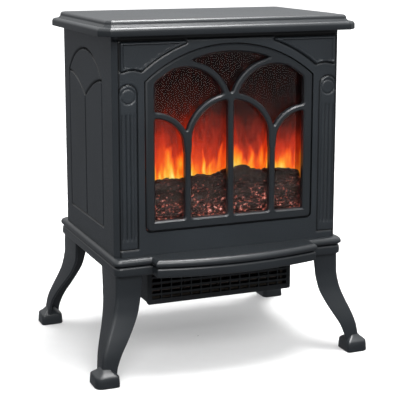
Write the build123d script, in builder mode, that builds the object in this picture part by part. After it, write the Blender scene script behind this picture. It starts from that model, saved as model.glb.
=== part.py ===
from build123d import *
import os

os.makedirs("parts", exist_ok=True)

# ---------------------------------------------------------------- driving dimensions (mm)
# +X is the right of the stove, the window faces -Y, +Z is up and z = 0 is the floor.
HEIGHT = 520.0
SHEET = 1.6                    # wall of the pressed casing panels
GAP = 0.3                      # clearance between neighbouring pieces
FIT = 0.05                     # radial running clearance of a shaft

BODY_X = 178.5                 # half width of the body over the side panels
BODY_FRONT = -118.5            # front edge of the side panels
BODY_BACK = 125.0
FASCIA_Y = -129.4              # front plane of the cast-look front
FASCIA_X = 171.7
BODY_Z = 180.6                 # joint between base moulding and body
SLAB_Z = 498.1                 # underside of the top slab

SLAB_X = 201.1                 # lower tier of the top slab
SLAB_FRONT = -144.8
SLAB_BACK = 125.4
SLAB_CHAMFER = 14.3
TIER_Z = 511.0                 # step between the two tiers
TIER_INSET = 8.5

WINDOW_X = 131.7               # half width of the window frame
WINDOW_Z = 215.5
WINDOW_Y = -130.8
FRAME_DEPTH = 12.0
ARCH_Z = 282.0                 # centre height of the window's concentric arches
ARCH_OUTER = 200.0
ARCH_INNER = 189.0
OPEN_X = 118.5                 # half width of the glazed opening
OPEN_Z = 229.5
BAR = 8.6                      # width of the curved tracery bars
MULLION = 8.8
MULLION_X = 67.2

LEG_MID = 8.25                 # y of the plane half way between front and rear legs
LEG_X = 179.5                  # outer faces of the straight upper legs
LEG_Y = 140.25
BASE_Z = 154.0                 # underside of the base moulding
GROOVE_Z = 168.7               # groove between its two rounded bands
BASE_X = 184.5
BASE_FRONT = -141.0
BASE_BACK = 153.5
BOW_X = 129.0
BOW_END = -162.0
BOW_FRONT = -180.0

GRILLE_Y = -92.4
GRILLE_X = 118.3
GRILLE_Z = 93.2
GRILLE_TOP = 158.0
TRAY_Z = 175.0

BLOWER_Y = -22.0               # cross-flow blower axis, along X
BLOWER_Z = 133.0
SPINDLE_Y = -22.0              # flame spindle axis, along X
SPINDLE_Z = 262.0
SHAFT_R = 3.0
SCREEN_Y = -60.0               # front of the translucent flame screen


def save(piece, name):
    """Label a finished piece and write it as one STEP file."""
    piece.part.label = name
    export_step(piece.part, f"parts/{name}.step")


def front_plane(y):
    """A plane whose local x, y are world X, Z and whose normal points at the viewer (-Y)."""
    return Plane(origin=(0, y, 0), x_dir=(1, 0, 0), z_dir=(0, -1, 0))


def side_plane(x, sign):
    """A plane on a side panel: local x is world Y times sign, local y is world Z."""
    return Plane(origin=(x, 0, 0), x_dir=(0, sign, 0), z_dir=(sign, 0, 0))


def box(x0, x1, y0, y1, z0, z1, mode=Mode.ADD):
    """A block given by its limits, in the current part."""
    with Locations(((x0 + x1) / 2, (y0 + y1) / 2, (z0 + z1) / 2)):
        Box(x1 - x0, y1 - y0, z1 - z0, mode=mode)


# ---------------------------------------------------------------- top slab
def slab_outline(inset):
    """Plan of a slab tier: a rectangle with 45 degree corners."""
    with BuildSketch() as plan:
        with Locations((0, (SLAB_FRONT + SLAB_BACK) / 2)):
            Rectangle(2 * (SLAB_X - inset), SLAB_BACK - SLAB_FRONT - 2 * inset)
        chamfer(plan.vertices(), SLAB_CHAMFER - inset * 0.3)
    return plan.sketch


with BuildPart() as top_cover:
    with BuildSketch(Plane.XY.offset(SLAB_Z)):
        add(slab_outline(0))
    extrude(amount=TIER_Z - SLAB_Z)
    fillet(top_cover.edges().group_by(Axis.Z)[-1], 4)
    with BuildSketch(Plane.XY.offset(TIER_Z)):
        add(slab_outline(TIER_INSET))
    extrude(amount=HEIGHT - TIER_Z)
    fillet(top_cover.edges().group_by(Axis.Z)[-1], 4.5)
    box(-168, 168, -108, 117, SLAB_Z, HEIGHT - 3, Mode.SUBTRACT)
save(top_cover, "top_cover")


# ---------------------------------------------------------------- side panels
BACK_FACE = BODY_BACK - SHEET   # seat of the back panel between the side panels
PANEL_BOTTOM = 214.0
PANEL_FRONT = -71.0
PANEL_REAR = 97.0
PANEL_SPRING = 430.0
PANEL_APEX = 470.0
PANEL_MID = (PANEL_FRONT + PANEL_REAR) / 2
GROOVE_W = 4.5
GROOVE_D = 0.8


def side_panel(sign):
    """Pressed side with an arched moulding and a forked centre rib, for x on one side."""
    outer = sign * BODY_X
    inner = sign * (BODY_X - SHEET)
    with BuildPart() as panel:
        box(min(outer, inner), max(outer, inner), BODY_FRONT, BODY_BACK, BODY_Z, SLAB_Z)
        low, high = sorted((inner, sign * 160))
        box(low, high, BODY_FRONT, BODY_FRONT + 2, BODY_Z, SLAB_Z)
        box(low, high, BACK_FACE - 2, BACK_FACE, BODY_Z, SLAB_Z)
        with BuildSketch(side_plane(outer, sign)):
            with BuildLine():
                corners = [(PANEL_FRONT, PANEL_SPRING), (PANEL_FRONT, PANEL_BOTTOM),
                           (PANEL_REAR, PANEL_BOTTOM), (PANEL_REAR, PANEL_SPRING)]
                Polyline(*[(sign * y, z) for y, z in corners])
                ThreePointArc((sign * PANEL_FRONT, PANEL_SPRING), (sign * PANEL_MID, PANEL_APEX),
                              (sign * PANEL_REAR, PANEL_SPRING))
            trace(line_width=GROOVE_W)
            with BuildLine():
                Line((sign * PANEL_MID, PANEL_BOTTOM), (sign * PANEL_MID, 380))
                for end, bend in ((PANEL_FRONT, -17), (PANEL_REAR, 43)):
                    ThreePointArc((sign * PANEL_MID, 380), (sign * bend, 411),
                                  (sign * end, PANEL_SPRING))
            trace(line_width=GROOVE_W)
        extrude(amount=-GROOVE_D, mode=Mode.SUBTRACT)
    return panel


save(side_panel(-1), "left_side_panel")
save(side_panel(1), "right_side_panel")


# ---------------------------------------------------------------- back panel and its controls
BACK_Y = BODY_BACK
PLATE_X = (-150.0, -86.0)      # control plate, at the stove's rear right seen from behind
PLATE_Z = (360.0, 474.0)
ROCKER_X = (PLATE_X[0] + PLATE_X[1]) / 2
ROCKER_Z = (450.0, 417.0, 384.0)
ROCKER_SIZE = (13.0, 21.0)
ROCKER_TILT = 9.0

with BuildPart() as back_panel:
    box(-175.2, 175.2, BACK_FACE, BACK_Y, BODY_Z + GAP, SLAB_Z - GAP)
    with BuildSketch(front_plane(BACK_FACE)):
        with Locations((0, 250)):
            with GridLocations(60, 11, 4, 7):
                SlotOverall(46, 4.5)
        with Locations((40, 440)):
            with GridLocations(60, 11, 2, 5):
                SlotOverall(46, 4.5)
        with Locations(*[(ROCKER_X, z) for z in ROCKER_Z]):
            Rectangle(18.4, 26.4)
        with Locations((-120, 205)):
            Circle(9.2)
    extrude(amount=-SHEET, mode=Mode.SUBTRACT)
save(back_panel, "back_panel")

with BuildPart() as control_panel:
    box(*PLATE_X, BACK_Y, BACK_Y + 3, *PLATE_Z)
    fillet(control_panel.edges().filter_by(Axis.Y), 5)
    chamfer(control_panel.faces().sort_by(Axis.Y)[-1].edges(), 1)
    for z in ROCKER_Z:
        box(ROCKER_X - 9, ROCKER_X + 9, BACK_Y, BACK_Y + 3, z - 13, z + 13, Mode.SUBTRACT)
save(control_panel, "control_panel")

with BuildPart() as switch_housings:
    for z in ROCKER_Z:
        box(ROCKER_X - 9, ROCKER_X + 9, BACK_Y - 16, BACK_Y + 4, z - 13, z + 13)
        box(ROCKER_X - 7, ROCKER_X + 7, BACK_Y - 9, BACK_Y + 4, z - 11.3, z + 11.3, Mode.SUBTRACT)
        with Locations((ROCKER_X, BACK_Y + 1, z)):
            Cylinder(1.5, 16, rotation=(0, 90, 0))
save(switch_housings, "switch_housings")


def rocker(z):
    """Two-position rocker cap on its cross pin, built in its off position."""
    length, height = ROCKER_SIZE
    with BuildPart() as cap:
        with BuildSketch(Plane.YZ.offset(-length / 2)):
            with BuildLine():
                Polyline((-3, -height / 2), (-3, height / 2), (3.0, height / 2))
                ThreePointArc((3.0, height / 2), (1.6, 0), (3.0, -height / 2))
                Line((3.0, -height / 2), (-3, -height / 2))
            make_face()
        extrude(amount=length)
        fillet(cap.edges().filter_by(Axis.X).group_by(Axis.Y)[-1], 0.8)
        Cylinder(1.5 + FIT, length, rotation=(0, 90, 0), mode=Mode.SUBTRACT)
    placed = Location((ROCKER_X, BACK_Y + 1, z)) * cap.part.rotate(Axis.X, ROCKER_TILT)
    with BuildPart() as result:
        add(placed)
    return result


for name, z in zip(("rocker_flame", "rocker_low_heat", "rocker_high_heat"), ROCKER_Z):
    save(rocker(z), name)

with BuildPart() as control_board:
    box(ROCKER_X - 27, ROCKER_X + 27, BACK_Y - 34, BACK_Y - 32.4, 356, 476)
    for z in ROCKER_Z:
        box(ROCKER_X - 8, ROCKER_X + 8, BACK_Y - 32.4, BACK_Y - 16, z - 7, z + 7)
    for z, size in ((364, 7), (468, 5)):
        box(ROCKER_X - size, ROCKER_X + size, BACK_Y - 32.4, BACK_Y - 23, z - size, z + size)
save(control_board, "control_board")

with BuildPart() as cable_gland:
    with Locations((-120, BACK_FACE, 205)):
        Cylinder(9, SHEET + 14, rotation=(90, 0, 0))
    with Locations((-120, BACK_Y + 3, 205)):
        Cylinder(12.5, 6, rotation=(90, 0, 0))
    with Locations((-120, BACK_Y + 9, 205)):
        Cone(9, 11, 6, rotation=(90, 0, 0))
    with Locations((-120, BACK_FACE, 205)):
        Cylinder(4, 60, rotation=(90, 0, 0), mode=Mode.SUBTRACT)
save(cable_gland, "cable_gland")

with BuildPart() as back_panel_screws:
    for x in (-167, 167):
        for z in (196, 340, 484):
            with Locations((x, BACK_Y + 1, z)):
                Cylinder(3.6, 2, rotation=(90, 0, 0))
save(back_panel_screws, "back_panel_screws")


# ---------------------------------------------------------------- cast-look front
FASCIA_T = 3.0
WINDOW_GAP = 1.8
CORNER_R = 217.0               # bead round the raised corner fields
PILASTER_X = 158.0
PILASTER_R = 13.2
ROSETTE_X = 157.0
ROSETTE_Z = 413.7
GLASS_Y = WINDOW_Y + FRAME_DEPTH
LUG_X = 141.0                  # screw lugs that hold the window frame behind the front
LUG_Z = (300.0, 360.0)
LUG_T = 2.2
SCREW_R = 1.6


def arch_outline(half, bottom, radius, corner):
    """Window outline: flat sill, rounded lower corners, sides and a segmental arch."""
    spring = ARCH_Z + (radius**2 - half**2) ** 0.5
    with BuildSketch() as outline:
        with BuildLine():
            Polyline((-half, spring), (-half, bottom), (half, bottom), (half, spring))
            ThreePointArc((-half, spring), (0, ARCH_Z + radius), (half, spring))
        make_face()
        fillet(outline.vertices().group_by(Axis.Y)[0], corner)
    return outline.sketch


def corner_field(sign):
    """Raised field between the window arch and the slab."""
    edge = 166.0
    top = 487.0
    start = (CORNER_R**2 - (top - ARCH_Z) ** 2) ** 0.5
    low_x = 138.0
    low_z = ARCH_Z + (CORNER_R**2 - low_x**2) ** 0.5
    bend = ((start + low_x) / 2 + 2.5, (top + low_z) / 2 + 4.0)
    with BuildSketch() as field:
        with BuildLine():
            Polyline((sign * edge, low_z), (sign * edge, top), (sign * start, top))
            ThreePointArc((sign * start, top), (sign * bend[0], bend[1]), (sign * low_x, low_z))
            ThreePointArc((sign * low_x, low_z), (sign * 152, low_z + 4), (sign * edge, low_z))
        make_face()
    return field.sketch


with BuildPart() as front_fascia:
    with BuildSketch(Plane.XY.offset(BODY_Z + GAP)):
        with BuildLine():
            Polyline((-FASCIA_X, FASCIA_Y), (FASCIA_X, FASCIA_Y), (BODY_X, BODY_FRONT - GAP),
                     (BODY_X - SHEET, BODY_FRONT - GAP), (FASCIA_X - 2, FASCIA_Y + FASCIA_T),
                     (2 - FASCIA_X, FASCIA_Y + FASCIA_T), (SHEET - BODY_X, BODY_FRONT - GAP),
                     (-BODY_X, BODY_FRONT - GAP), close=True)
        make_face()
    extrude(amount=SLAB_Z - BODY_Z - 2 * GAP)
    with BuildSketch(front_plane(FASCIA_Y)):
        add(arch_outline(WINDOW_X + WINDOW_GAP, WINDOW_Z - WINDOW_GAP, ARCH_OUTER + WINDOW_GAP, 9))
    extrude(amount=-FASCIA_T, mode=Mode.SUBTRACT)
    with BuildSketch(front_plane(FASCIA_Y)):
        for sign in (-1, 1):
            add(corner_field(sign))
    extrude(amount=1.4)
    with BuildSketch(front_plane(FASCIA_Y)):
        for sign in (-1, 1):
            with BuildLine():
                x0, x1 = sorted((sign * (PILASTER_X - PILASTER_R), sign * (PILASTER_X + PILASTER_R)))
                Polyline((x0, 416), (x0, 193), (x1, 193), (x1, 416))
                ThreePointArc((x0, 416), (sign * PILASTER_X, 416 + PILASTER_R), (x1, 416))
            trace(line_width=2.2)
            with Locations((sign * PILASTER_X, 296)):
                with GridLocations(6.4, 1, 3, 1):
                    SlotOverall(186, 3.0, rotation=90)
    extrude(amount=-GROOVE_D, mode=Mode.SUBTRACT)
    with BuildSketch(front_plane(FASCIA_Y)):
        with Locations((-ROSETTE_X, ROSETTE_Z), (ROSETTE_X, ROSETTE_Z)):
            Circle(10.5)
            Circle(7.0, mode=Mode.SUBTRACT)
            Circle(3.2)
    extrude(amount=1.6)
    for x in (-LUG_X, LUG_X):
        for z in LUG_Z:
            with Locations((x, (FASCIA_Y + FASCIA_T + GLASS_Y - LUG_T) / 2, z)):
                Cylinder(4, GLASS_Y - LUG_T - FASCIA_Y - FASCIA_T, rotation=(90, 0, 0))
            with Locations((x, GLASS_Y - LUG_T - 2.4, z)):
                Cylinder(SCREW_R + 0.1, 4.8, rotation=(90, 0, 0), mode=Mode.SUBTRACT)
save(front_fascia, "front_fascia")


# ---------------------------------------------------------------- window frame with its tracery
MID_ARCH = (0, 339.0, 69.0)            # x, z and outer radius of the centre half circle
SIDE_ARCH = (120.0, 331.0, 55.5)       # quarter arcs over the outer lights
FAN_ARCH = (76.0, 387.0, 72.5)         # arcs that rise from the centre bar to the arch


def half_ring(centre_x, centre_z, outer):
    """The upper half of a circular tracery bar."""
    with BuildSketch() as arc:
        with Locations((centre_x, centre_z)):
            Circle(outer)
            Circle(outer - BAR, mode=Mode.SUBTRACT)
        with Locations((centre_x, centre_z - outer)):
            Rectangle(2 * outer, 2 * outer, mode=Mode.SUBTRACT)
    return arc.sketch


def tracery():
    """All bars of the window, cut off by the frame's outline."""
    with BuildSketch() as bars:
        side_top = SIDE_ARCH[1] + (SIDE_ARCH[2] ** 2 - (SIDE_ARCH[0] - MULLION_X) ** 2) ** 0.5
        centre_top = MID_ARCH[1] + MID_ARCH[2] - BAR / 2
        for x, top in ((-MULLION_X, side_top), (0, centre_top), (MULLION_X, side_top)):
            with Locations((x, (WINDOW_Z + 5 + top) / 2)):
                Rectangle(MULLION, top - WINDOW_Z - 5)
        add(half_ring(*MID_ARCH))
        for sign in (-1, 1):
            add(half_ring(sign * SIDE_ARCH[0], *SIDE_ARCH[1:]))
            with BuildSketch(mode=Mode.PRIVATE) as fan:
                add(half_ring(sign * FAN_ARCH[0], *FAN_ARCH[1:]))
                with Locations((sign * (FAN_ARCH[0] + 100), FAN_ARCH[1])):
                    Rectangle(200, 300, mode=Mode.SUBTRACT)
                with Locations((0, MID_ARCH[1] + MID_ARCH[2] - BAR / 2 - 50)):
                    Rectangle(400, 100, mode=Mode.SUBTRACT)
            add(fan.sketch)
    return bars.sketch


with BuildPart() as window_frame:
    with BuildSketch(front_plane(WINDOW_Y)):
        add(arch_outline(OPEN_X + 4, OPEN_Z - 4, ARCH_INNER + 4, 6))
        add(tracery(), mode=Mode.INTERSECT)
        add(arch_outline(WINDOW_X, WINDOW_Z, ARCH_OUTER, 9))
        add(arch_outline(OPEN_X, OPEN_Z, ARCH_INNER, 6), mode=Mode.SUBTRACT)
        add(arch_outline(OPEN_X + 4, OPEN_Z - 4, ARCH_INNER + 4, 6) & tracery())
    extrude(amount=-FRAME_DEPTH)
    for x in (-LUG_X, LUG_X):
        for z in LUG_Z:
            low, high = sorted((x / LUG_X * (WINDOW_X - 2), x / LUG_X * (LUG_X + 5)))
            box(low, high, GLASS_Y - LUG_T, GLASS_Y, z - 5, z + 5)
            with Locations((x, GLASS_Y - LUG_T / 2, z)):
                Cylinder(SCREW_R + 0.3, LUG_T, rotation=(90, 0, 0), mode=Mode.SUBTRACT)
save(window_frame, "window_frame")

with BuildPart() as frame_screws:
    for x in (-LUG_X, LUG_X):
        for z in LUG_Z:
            with Locations((x, GLASS_Y + 1, z)):
                Cylinder(3.4, 2, rotation=(90, 0, 0))
            with Locations((x, GLASS_Y - 3, z)):
                Cylinder(SCREW_R, 6, rotation=(90, 0, 0))
save(frame_screws, "frame_screws")

with BuildPart() as window_glass:
    with BuildSketch(front_plane(GLASS_Y + GAP)):
        add(arch_outline(WINDOW_X - 4, WINDOW_Z + 4, ARCH_OUTER - 4, 6))
    extrude(amount=-3)
save(window_glass, "window_glass")

CLIP_Y = GLASS_Y + GAP + 3
with BuildPart() as glass_clips:
    for x in (-136, 136):
        for z in (250, 400):
            box(x - 10, x + 10, CLIP_Y + GAP, CLIP_Y + GAP + 1.5, z - 6, z + 6)
            box(x - 2, x + 3, FASCIA_Y + FASCIA_T, CLIP_Y + GAP, z - 6, z + 6)
save(glass_clips, "glass_clips")


# ---------------------------------------------------------------- base moulding
def base_outline(inset):
    """Plan of the base: two corner blocks with a bowed apron between them."""
    with BuildSketch() as plan:
        with BuildLine():
            front = [(-BOW_X, BOW_END), (-BOW_X, BASE_FRONT), (-BASE_X, BASE_FRONT),
                     (-BASE_X, BASE_BACK), (BASE_X, BASE_BACK), (BASE_X, BASE_FRONT),
                     (BOW_X, BASE_FRONT), (BOW_X, BOW_END)]
            Polyline(*front)
            ThreePointArc((-BOW_X, BOW_END), (0, BOW_FRONT), (BOW_X, BOW_END))
        make_face()
        if inset:
            offset(amount=-inset, kind=Kind.INTERSECTION)
    return plan.sketch


LEG_PAD = (136.0, 74.0)        # inner limit of the solid corner blocks in x, and their depth in y
LEG_CORNERS = ((-1, -1), (1, -1), (-1, 1), (1, 1))


def leg_screw_spots(side, end):
    """The two screws that hold one leg to its corner block."""
    return [(side * (LEG_X - 18), LEG_MID + end * (LEG_Y - inset)) for inset in (12, 30)]


with BuildPart() as base_frame:
    with BuildSketch(Plane.XY.offset(BASE_Z)):
        add(base_outline(2))
    extrude(amount=GROOVE_Z - BASE_Z)
    fillet(base_frame.edges().group_by(Axis.Z)[-1], 3)
    fillet(base_frame.edges().group_by(Axis.Z)[0], 2.5)
    with BuildSketch(Plane.XY.offset(GROOVE_Z)):
        add(base_outline(3.5))
    extrude(amount=1.5)
    with BuildPart(mode=Mode.PRIVATE) as torus:
        with BuildSketch(Plane.XY.offset(GROOVE_Z + 1.0)):
            add(base_outline(0))
        extrude(amount=BODY_Z - GROOVE_Z - 1.0)
        fillet(torus.edges().group_by(Axis.Z)[-1], 5)
        fillet(torus.edges().group_by(Axis.Z)[0], 3.5)
    add(torus.part)
    with BuildSketch(Plane.XY.offset(BODY_Z)):
        add(base_outline(10))
        with Locations((0, FASCIA_Y - 12 + 200)):
            Rectangle(500, 400, mode=Mode.SUBTRACT)
    extrude(amount=-4, mode=Mode.SUBTRACT)
    with BuildSketch(Plane.XY.offset(BASE_Z)) as pocket:
        add(base_outline(7))
        for side in (-1, 1):
            for y in (BASE_FRONT + LEG_PAD[1] / 2, BASE_BACK - LEG_PAD[1] / 2):
                with Locations((side * (LEG_PAD[0] + 30), y)):
                    Rectangle(60, LEG_PAD[1] + 2, mode=Mode.SUBTRACT)
    extrude(amount=18, mode=Mode.SUBTRACT)
    box(-120, 120, -95, 112, BASE_Z, BODY_Z, Mode.SUBTRACT)
    for side, end in LEG_CORNERS:
        for x, y in leg_screw_spots(side, end):
            with Locations((x, y, BASE_Z + 5)):
                Cylinder(2.5, 10, mode=Mode.SUBTRACT)
save(base_frame, "base_frame")

with BuildPart() as base_tray:
    box(-131, 131, -112, 122, TRAY_Z - 4.2, TRAY_Z - 3)
    box(-100, 100, -50, 10, TRAY_Z - 5, TRAY_Z, Mode.SUBTRACT)
save(base_tray, "base_tray")


# ---------------------------------------------------------------- legs
WALL = 4.0
# height, outward offset of the outer corner, width of the front wall, width of the side wall
LEG_SECTIONS = (
    (BASE_Z, 0.0, 40.5, 71.0),
    (122.0, 0.3, 37.5, 68.0),
    (98.0, 5.0, 37.0, 55.0),
    (79.0, 12.5, 35.5, 44.0),
    (61.0, 20.5, 33.0, 36.0),
    (43.0, 27.0, 28.0, 30.0),
    (22.0, 30.0, 23.0, 26.0),
)
SPLAY = 0.7                    # the legs splay less towards front and back than to the sides
HOOF = (36.0, 38.0)
HOOF_TIP = (41.5, 31.5)        # how far the hoof's tip stands out from the straight leg
HOOF_Z = 24.0


def leg(side, end):
    """Hollow L-section cabriole leg, open to the inside, with a solid hoof."""
    def corner(offset_x, offset_y):
        return (side * (LEG_X + offset_x), LEG_MID + end * (LEG_Y + offset_y))

    with BuildPart() as piece:
        for z, out, wide, deep in LEG_SECTIONS:
            with BuildSketch(Plane.XY.offset(z)):
                with BuildLine():
                    oy = out * SPLAY
                    ring_points = [(out - 5, oy), (out, oy - 5), (out, oy - deep),
                                   (out - WALL, oy - deep), (out - WALL, oy - WALL),
                                   (out - wide, oy - WALL), (out - wide, oy)]
                    Polyline(*[corner(*p) for p in ring_points], close=True)
                make_face()
        loft()
        with BuildSketch():
            with BuildLine():
                tx, ty = HOOF_TIP
                hx, hy = HOOF
                plan = [(tx - 9, ty), (tx, ty - 9), (tx - 3, ty - hy + 6), (tx - 11, ty - hy),
                        (tx - hx + 4, ty - hy), (tx - hx, ty - hy + 5), (tx - hx + 3, ty - 8),
                        (tx - hx + 12, ty)]
                Polyline(*[corner(*p) for p in plan], close=True)
            make_face()
        extrude(amount=HOOF_Z)
        chamfer(piece.faces().filter_by(Axis.Z).sort_by(Axis.Z)[0].edges(), 1.2)
        x0, x1 = sorted((side * (LEG_X - WALL - 26), side * (LEG_X - 2)))
        y0, y1 = sorted((LEG_MID + end * (LEG_Y - 2), LEG_MID + end * (LEG_Y - 40)))
        box(x0, x1, y0, y1, BASE_Z - 4, BASE_Z)
        for x, y in leg_screw_spots(side, end):
            with Locations((x, y, BASE_Z - 2)):
                Cylinder(2.6, 4, mode=Mode.SUBTRACT)
    return piece


LEG_NAMES = ("leg_front_left", "leg_front_right", "leg_back_left", "leg_back_right")
for name, (side, end) in zip(LEG_NAMES, LEG_CORNERS):
    save(leg(side, end), name)

with BuildPart() as leg_screws:
    for side, end in LEG_CORNERS:
        for x, y in leg_screw_spots(side, end):
            with Locations((x, y, BASE_Z - 5.5)):
                Cylinder(5, 3)
            with Locations((x, y, BASE_Z + 2)):
                Cylinder(2.4, 12)
save(leg_screws, "leg_screws")


# ---------------------------------------------------------------- fan heater under the base
ROWS = 6
COLUMNS = 14
BORDER = 6.0
HOUSE_BACK = 36.0
HOUSE_Y = GRILLE_Y + 5.0
HOUSE_X = GRILLE_X - 2.0
HOUSE_T = 1.2
HOUSE_FLOOR = GRILLE_Z + 1.5 + HOUSE_T

with BuildPart() as outlet_grille:
    box(-GRILLE_X, GRILLE_X, GRILLE_Y, HOUSE_Y, GRILLE_Z, GRILLE_TOP)
    fillet(outlet_grille.edges().filter_by(Axis.Y), 3)
    cell_x = (2 * GRILLE_X - 2 * BORDER) / COLUMNS
    cell_z = (GRILLE_TOP - GRILLE_Z - 2 * BORDER) / ROWS
    with BuildSketch(front_plane(GRILLE_Y)):
        with Locations((0, (GRILLE_Z + GRILLE_TOP) / 2)):
            with GridLocations(cell_x, cell_z, COLUMNS, ROWS):
                Rectangle(cell_x - 1.8, cell_z - 3.2)
    extrude(amount=-5, mode=Mode.SUBTRACT)
save(outlet_grille, "outlet_grille")

with BuildPart() as heater_housing:
    box(-HOUSE_X, HOUSE_X, HOUSE_Y, HOUSE_BACK, GRILLE_Z + 1.5, TRAY_Z - 4.2)
    box(HOUSE_T - HOUSE_X, HOUSE_X - HOUSE_T, HOUSE_Y, HOUSE_BACK - HOUSE_T,
        HOUSE_FLOOR, TRAY_Z - 4.2 - HOUSE_T, Mode.SUBTRACT)
    box(-95, 95, -48, 8, TRAY_Z - 7, TRAY_Z, Mode.SUBTRACT)
save(heater_housing, "heater_housing")

with BuildPart() as heater_screws:
    for x in (-105, 105):
        for y in (-70, 22):
            with Locations((x, y, TRAY_Z - 2)):
                Cylinder(3.4, 2)
save(heater_screws, "heater_screws")

ELEMENT_Y = -74.0
with BuildPart() as element_frame:
    box(-110, 110, ELEMENT_Y - 7, ELEMENT_Y + 7, HOUSE_FLOOR, 152)
    box(-106, 106, ELEMENT_Y - 8, ELEMENT_Y + 8, 102, 149, Mode.SUBTRACT)
    for x in (-54, 0, 54):
        box(x - 0.6, x + 0.6, ELEMENT_Y - 6, ELEMENT_Y + 6, 102, 149)
save(element_frame, "element_frame")

with BuildPart() as heating_element:
    for z in (109, 119, 129, 139):
        for x, length in ((-80.3, 51.4), (-27, 52.8), (27, 52.8), (80.3, 51.4)):
            with Locations((x, ELEMENT_Y, z)):
                Cylinder(2.6, length, rotation=(0, 90, 0))
save(heating_element, "heating_element")

BLOWER_R = 24.0
with BuildPart() as blower_wheel:
    with BuildSketch(Plane.YZ.offset(-85)):
        with Locations((BLOWER_Y, BLOWER_Z)):
            Circle(BLOWER_R)
            Circle(SHAFT_R, mode=Mode.SUBTRACT)
    extrude(amount=3)
    with BuildSketch(Plane.YZ.offset(82)):
        with Locations((BLOWER_Y, BLOWER_Z)):
            Circle(BLOWER_R)
            Circle(SHAFT_R, mode=Mode.SUBTRACT)
    extrude(amount=3)
    with BuildSketch(Plane.YZ.offset(-83)):
        with Locations((BLOWER_Y, BLOWER_Z)):
            with PolarLocations(BLOWER_R - 4, 20):
                Rectangle(6.5, 1.2, rotation=35)
    extrude(amount=166)
save(blower_wheel, "blower_wheel")

with BuildPart() as blower_shaft:
    with Locations((1, BLOWER_Y, BLOWER_Z)):
        Cylinder(SHAFT_R, 194, rotation=(0, 90, 0))
save(blower_shaft, "blower_shaft")


def shaft_block(x0, x1, y, z, radius, foot_z, wide):
    """A round housing with a blind running bore, on a foot; the bore opens towards x = 0."""
    inward = 1 if x0 < 0 else -1
    near = x1 if x0 < 0 else x0
    with BuildPart() as block:
        with Locations(((x0 + x1) / 2, y, z)):
            Cylinder(radius, x1 - x0, rotation=(0, 90, 0))
        low, high = sorted((foot_z, z))
        box(x0, x1, y - wide, y + wide, low, high)
        with Locations((near - inward * 6, y, z)):
            Cylinder(SHAFT_R + FIT, 12, rotation=(0, 90, 0), mode=Mode.SUBTRACT)
    return block


save(shaft_block(-105, -88, BLOWER_Y, BLOWER_Z, 9, HOUSE_FLOOR, 7), "blower_bearing")
save(shaft_block(88, 113, BLOWER_Y, BLOWER_Z, 19, HOUSE_FLOOR, 14), "blower_motor")

with BuildPart() as thermal_cutout:
    box(-70, -46, HOUSE_BACK - 7, HOUSE_BACK - HOUSE_T, 104, 116)
    with Locations((-58, HOUSE_BACK - 9.5, 110)):
        Cylinder(5, 5, rotation=(90, 0, 0))
save(thermal_cutout, "thermal_cutout")


# ---------------------------------------------------------------- firebox and flame effect
BOX_X = 141.0
BOX_FRONT = -112.0
BOX_BACK = 60.0
BOX_FLOOR = 200.0
BOX_TOP = 490.0
LINER = 1.0

with BuildPart() as firebox_floor:
    box(-BOX_X, BOX_X, BOX_FRONT, BOX_BACK, BOX_FLOOR - LINER, BOX_FLOOR)
    for x in (-BOX_X, BOX_X - LINER):
        box(x, x + LINER, BOX_FRONT + 12, BOX_BACK, BODY_Z, BOX_FLOOR - LINER)
save(firebox_floor, "firebox_floor")


def liner(sign):
    """Dark side wall of the firebox."""
    low, high = sorted((sign * BOX_X, sign * (BOX_X - LINER)))
    with BuildPart() as wall:
        box(low, high, BOX_FRONT, BOX_BACK, BOX_FLOOR, BOX_TOP)
    return wall


save(liner(-1), "firebox_liner_left")
save(liner(1), "firebox_liner_right")

with BuildPart() as firebox_back:
    box(LINER - BOX_X, BOX_X - LINER, BOX_BACK - LINER, BOX_BACK, BOX_FLOOR, BOX_TOP)
save(firebox_back, "firebox_back")

with BuildPart() as firebox_top:
    box(-BOX_X, BOX_X, BOX_FRONT, BOX_BACK, BOX_TOP, BOX_TOP + LINER)
save(firebox_top, "firebox_top")

with BuildPart() as flame_screen:
    box(LINER - BOX_X, BOX_X - LINER, SCREEN_Y, SCREEN_Y + 2, BOX_FLOOR + 12, BOX_TOP)
save(flame_screen, "flame_screen")

BED_X = 135.0
BED_FRONT = BOX_FRONT + 3
BED_BACK = SCREEN_Y - 1
# logs: start point, end point, radius
LOGS = (
    ((-112, -88, 262), (-18, -80, 266), 16),
    ((-6, -80, 264), (112, -84, 268), 15),
    ((-70, -96, 242), (10, -92, 247), 14),
    ((24, -94, 245), (112, -92, 246), 14),
    ((4, -78, 278), (70, -82, 280), 11),
)

with BuildPart() as log_bed:
    with BuildSketch(Plane.YZ.offset(-BED_X)):
        with BuildLine():
            Polyline((BED_BACK, 214), (BED_FRONT, 214), (BED_FRONT, 228))
            Spline((BED_FRONT, 228), (-94, 243), (-76, 262), (BED_BACK, 258))
            Line((BED_BACK, 258), (BED_BACK, 214))
        make_face()
    extrude(amount=2 * BED_X)
    for x in (-BED_X, BED_X - 5):
        box(x, x + 5, BED_FRONT + 4, BED_BACK - 4, BOX_FLOOR, 216)
    for start, end, radius in LOGS:
        along = Vector(*end) - Vector(*start)
        with BuildSketch(Plane(origin=start, z_dir=along)):
            Circle(radius)
        extrude(amount=along.length)
    box(-200, 200, -200, BED_FRONT, 100, 400, Mode.SUBTRACT)
    box(-200, 200, BED_BACK, 0, 100, 400, Mode.SUBTRACT)
save(log_bed, "log_bed")

with BuildPart() as led_board:
    box(-120, 120, -100, -72, BOX_FLOOR, BOX_FLOOR + 1.6)
    for x in range(-105, 106, 30):
        with Locations((x, -86, BOX_FLOOR + 3.1)):
            Cylinder(4, 3)
save(led_board, "led_board")

with BuildPart() as flame_spindle:
    with Locations((0, SPINDLE_Y, SPINDLE_Z)):
        Cylinder(SHAFT_R, 256, rotation=(0, 90, 0))
save(flame_spindle, "flame_spindle")

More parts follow.
